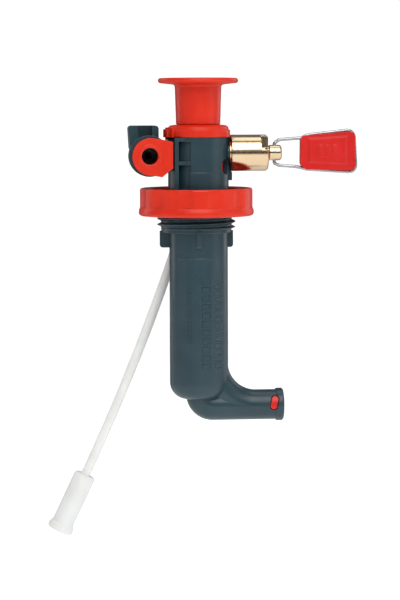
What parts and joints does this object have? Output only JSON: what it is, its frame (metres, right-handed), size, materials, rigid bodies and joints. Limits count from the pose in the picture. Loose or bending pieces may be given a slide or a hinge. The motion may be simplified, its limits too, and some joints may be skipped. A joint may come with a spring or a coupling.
{
  "type": "liquid fuel stove pump",
  "caption": "Bottle-mounted pump for a liquid fuel stove: hand plunger, outlet elbow with check valve, needle valve with wire bail, fuel line port, and a pickup hose with a strainer.",
  "frame": {"origin": "on the bottle thread axis, at the underside of the grip collar", "axes": "+Z along the bottle thread axis towards the plunger handle; +X out along the needle valve; the fuel line port mouth faces -Y"},
  "size_m": [0.1139, 0.042, 0.169],
  "materials": {
    "body_plastic": "moulded, satin",
    "red_plastic": "moulded, semi-gloss",
    "brass": "turned, bright",
    "steel": "drawn wire",
    "white_plastic": "translucent",
    "rubber": "matt",
    "leather": "oiled"
  },
  "bodies": {
    "pump_body": {"pump_body": "body_plastic", "grip_collar": "red_plastic", "bottle_gasket": "rubber", "fuel_port_bushing": "red_plastic", "port_o_ring": "rubber", "valve_seat": "brass", "valve_nut": "brass", "check_seat": "rubber", "check_spring": "steel", "check_valve_cap": "red_plastic", "pickup_hose": "white_plastic", "filter_housing": "white_plastic", "filter_screen": "steel"},
    "plunger": {"plunger": "red_plastic", "pump_cup": "leather"},
    "plunger_bushing": {"plunger_bushing": "red_plastic"},
    "valve_carriage": {"valve_o_ring": "rubber"},
    "valve_stem": {"valve_stem": "brass"},
    "bail": {"bail_wire": "steel", "bail_tag": "red_plastic"},
    "check_ball": {"check_ball": "steel"}
  },
  "joints": [
    {"name": "plunger_slide", "type": "slide", "parent": "pump_body", "child": "plunger", "axis": [0, 0, 1], "range_m": [0, 0.06]},
    {"name": "bushing_twist", "type": "hinge", "parent": "pump_body", "child": "plunger_bushing", "pos_m": [0.00065, -0.0016, 0.0284], "axis": [0, 0, 1], "range_deg": [-30, 0]},
    {"name": "valve_travel", "type": "slide", "parent": "pump_body", "child": "valve_carriage", "axis": [1, 0, 0], "range_m": [0, 0.002]},
    {"name": "valve_turn", "type": "hinge", "parent": "valve_carriage", "child": "valve_stem", "pos_m": [0.0284, -0.0016, 0.0227], "axis": [1, 0, 0], "range_deg": [0, 720]},
    {"name": "bail_fold", "type": "hinge", "parent": "valve_stem", "child": "bail", "pos_m": [0.0284, -0.0016, 0.0227], "axis": [0, 0, 1], "range_deg": [-90, 90]},
    {"name": "check_ball_lift", "type": "slide", "parent": "pump_body", "child": "check_ball", "axis": [1, 0, 0], "range_m": [0, 0.001], "deforming": ["check_spring"]}
  ],
  "couplings": [
    {"joint": "valve_turn", "follows": "valve_travel", "rad_per_m": 6283.2}
  ]
}
